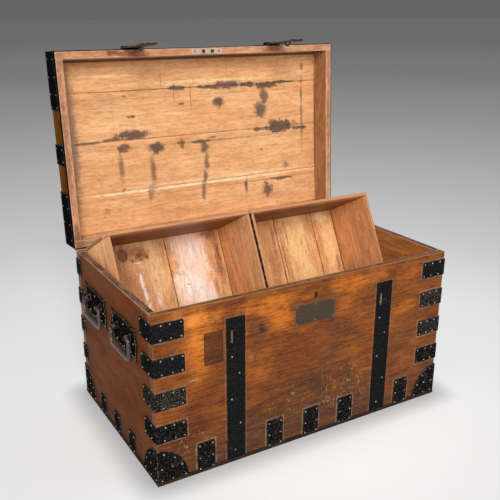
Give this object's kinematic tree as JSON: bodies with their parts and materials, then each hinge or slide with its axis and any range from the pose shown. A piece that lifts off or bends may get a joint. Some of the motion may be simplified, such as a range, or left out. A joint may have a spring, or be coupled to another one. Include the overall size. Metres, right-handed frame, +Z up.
{
  "type": "silver chest",
  "caption": "Iron-bound wooden silver chest with a hinged lid, two hasps, a box lock, drop handles and two loose trays that lean inside.",
  "frame": {"origin": "centre of the underside of the bottom board", "axes": "+Z up, +X to the viewer's right along the width, the front faces -Y"},
  "size_m": [1.0192, 0.7141, 1.0946],
  "materials": {
    "front_wood": "old satin varnish over orange-brown board",
    "side_wood": "dull dark red-brown varnish",
    "pine": "bare planed pine, stained",
    "iron": "pitted black iron",
    "steel": "dull worn steel",
    "bronze": "dark patinated metal, bare"
  },
  "bodies": {
    "chest_body": {"front_board": "front_wood", "rear_board": "front_wood", "left_board": "side_wood", "right_board": "side_wood", "bottom_board": "pine", "front_left_edge_plate_1": "iron", "front_left_edge_plate_2": "iron", "front_left_edge_plate_3": "iron", "front_left_edge_plate_4": "iron", "front_right_edge_plate_1": "iron", "front_right_edge_plate_2": "iron", "front_right_edge_plate_3": "iron", "front_right_edge_plate_4": "iron", "front_left_corner_cap": "iron", "front_right_corner_cap": "iron", "rear_left_corner_cap": "iron", "rear_right_corner_cap": "iron", "left_front_strap": "iron", "right_front_strap": "iron", "left_rear_strap": "iron", "right_rear_strap": "iron", "left_hinge_pin": "steel", "right_hinge_pin": "steel", "nameplate": "bronze", "keyhole_escutcheon": "steel", "lock_case": "steel", "left_front_handle_plate": "iron", "left_rear_handle_plate": "iron", "right_front_handle_plate": "iron", "right_rear_handle_plate": "iron"},
    "lid": {"lid_front_rail": "front_wood", "lid_rear_rail": "pine", "lid_left_rail": "front_wood", "lid_right_rail": "front_wood", "lid_boards": "pine", "lid_front_left_bracket": "iron", "lid_front_right_bracket": "iron", "lid_rear_left_bracket": "iron", "lid_rear_right_bracket": "iron", "left_lid_strap": "iron", "right_lid_strap": "iron", "lid_left_side_strap": "iron", "lid_right_side_strap": "iron", "left_hasp_pin": "steel", "right_hasp_pin": "steel", "lid_edge_strip": "iron", "link_plate": "steel"},
    "left_hasp_leaf": {"left_hasp": "iron"},
    "right_hasp_leaf": {"right_hasp": "iron"},
    "left_front_handle": {"left_front_bail": "iron"},
    "left_rear_handle": {"left_rear_bail": "iron"},
    "right_front_handle": {"right_front_bail": "iron"},
    "right_rear_handle": {"right_rear_bail": "iron"},
    "bolt": {"lock_bolt": "steel"},
    "left_tray": {"left_tray_floor": "pine", "left_tray_frame": "pine"},
    "right_tray": {"right_tray_floor": "pine", "right_tray_frame": "pine"}
  },
  "joints": [
    {"name": "lid_hinge", "type": "hinge", "parent": "chest_body", "child": "lid", "pos_m": [0, 0.2937, 0.4893], "axis": [-1, 0, 0], "range_deg": [-93.65, 0]},
    {"name": "left_hasp_hinge", "type": "hinge", "parent": "lid", "child": "left_hasp_leaf", "pos_m": [-0.2507, 0.34791, 1.07529], "axis": [-1, 0, 0], "range_deg": [-2.5, 140]},
    {"name": "right_hasp_hinge", "type": "hinge", "parent": "lid", "child": "right_hasp_leaf", "pos_m": [0.2507, 0.34791, 1.07529], "axis": [-1, 0, 0], "range_deg": [-2.5, 140]},
    {"name": "left_front_bail_hinge", "type": "hinge", "parent": "chest_body", "child": "left_front_handle", "pos_m": [-0.501, -0.10062, 0.378], "axis": [0, 1, 0], "range_deg": [0, 140]},
    {"name": "left_rear_bail_hinge", "type": "hinge", "parent": "chest_body", "child": "left_rear_handle", "pos_m": [-0.501, 0.12726, 0.378], "axis": [0, 1, 0], "range_deg": [0, 140]},
    {"name": "right_front_bail_hinge", "type": "hinge", "parent": "chest_body", "child": "right_front_handle", "pos_m": [0.501, -0.10062, 0.378], "axis": [0, -1, 0], "range_deg": [0, 140]},
    {"name": "right_rear_bail_hinge", "type": "hinge", "parent": "chest_body", "child": "right_rear_handle", "pos_m": [0.501, 0.12726, 0.378], "axis": [0, -1, 0], "range_deg": [0, 140]},
    {"name": "lock_bolt_slide", "type": "slide", "parent": "chest_body", "child": "bolt", "axis": [1, 0, 0], "range_m": [0, 0.0062]},
    {"name": "left_tray_rock", "type": "hinge", "parent": "chest_body", "child": "left_tray", "pos_m": [-0.23213, 0.02628, 0.0273], "axis": [1, 0, 0], "range_deg": [0, 27]},
    {"name": "right_tray_rock", "type": "hinge", "parent": "chest_body", "child": "right_tray", "pos_m": [0.23213, 0.02628, 0.0273], "axis": [1, 0, 0], "range_deg": [0, 27]}
  ],
  "couplings": [
    {"joint": "left_tray_rock", "follows": "lid_hinge", "ratio": -0.28831},
    {"joint": "right_tray_rock", "follows": "lid_hinge", "ratio": -0.28831}
  ]
}
